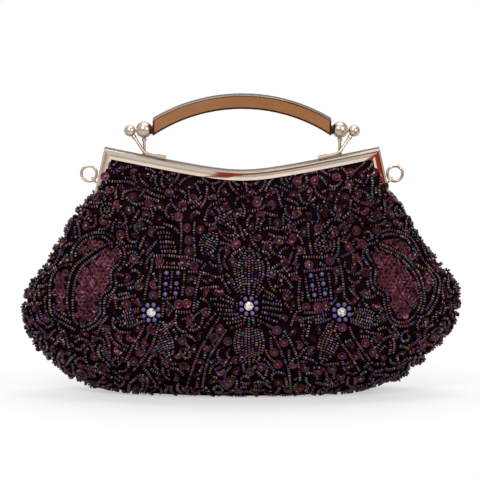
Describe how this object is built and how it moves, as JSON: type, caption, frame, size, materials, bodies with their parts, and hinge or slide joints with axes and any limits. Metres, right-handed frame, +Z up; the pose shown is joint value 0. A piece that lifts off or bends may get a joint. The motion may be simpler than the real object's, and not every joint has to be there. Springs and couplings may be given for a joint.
{
  "type": "beaded evening clutch",
  "caption": "Soft beaded evening clutch in a hinged nickel kiss-lock frame with ball clasps, a rigid arched handle and rings for a shoulder chain.",
  "frame": {"origin": "middle of the flat base that the bag stands on", "axes": "+Z up, +X to the right of someone who faces the bag's front, and the front faces -Y"},
  "size_m": [0.266, 0.0615, 0.1867],
  "materials": {
    "nickel": "polished warm nickel plate",
    "tan_lacquer": "glossy bronze-tan lacquer",
    "beaded_satin": "dark plum satin covered with seed beads and sequins",
    "lining_satin": "smooth dark satin",
    "paper_cord": "twisted kraft paper",
    "grey_board": "plain grey board",
    "violet_beads": "glossy lustre beads",
    "crystal": "clear cut crystal, foil backed"
  },
  "bodies": {
    "back_half": {"back_frame": "nickel", "back_paper_cord": "paper_cord", "back_panel": "beaded_satin", "bag_shell": "beaded_satin", "lining": "lining_satin", "base_board": "grey_board", "left_handle_post": "nickel", "right_handle_post": "nickel", "left_handle_ball": "nickel", "right_handle_ball": "nickel", "handle_bar": "nickel", "handle_inlay_front": "tan_lacquer", "handle_inlay_back": "tan_lacquer", "left_hinge_rivet": "nickel", "right_hinge_rivet": "nickel", "left_ring_lug": "nickel", "right_ring_lug": "nickel", "left_flower_beads": "violet_beads", "left_flower_crystal": "crystal", "middle_flower_beads": "violet_beads", "middle_flower_crystal": "crystal", "right_flower_beads": "violet_beads", "right_flower_crystal": "crystal"},
    "front_half": {"front_frame": "nickel", "front_paper_cord": "paper_cord", "front_panel": "beaded_satin", "left_clasp_arm": "nickel", "right_clasp_arm": "nickel", "left_clasp_ball": "nickel", "right_clasp_ball": "nickel"},
    "left_ring": {"left_strap_ring": "nickel"},
    "right_ring": {"right_strap_ring": "nickel"}
  },
  "joints": [
    {"name": "frame_open", "type": "hinge", "parent": "back_half", "child": "front_half", "pos_m": [0, 0, 0.114], "axis": [1, 0, 0], "range_deg": [0, 80]},
    {"name": "left_ring_swing", "type": "hinge", "parent": "back_half", "child": "left_ring", "pos_m": [-0.0918, 0.00295, 0.13335], "axis": [-0.7912, 0, -0.6115], "range_deg": [-45, 45]},
    {"name": "right_ring_swing", "type": "hinge", "parent": "back_half", "child": "right_ring", "pos_m": [0.0918, 0.00295, 0.13335], "axis": [0.7912, 0, -0.6115], "range_deg": [-45, 45]}
  ]
}
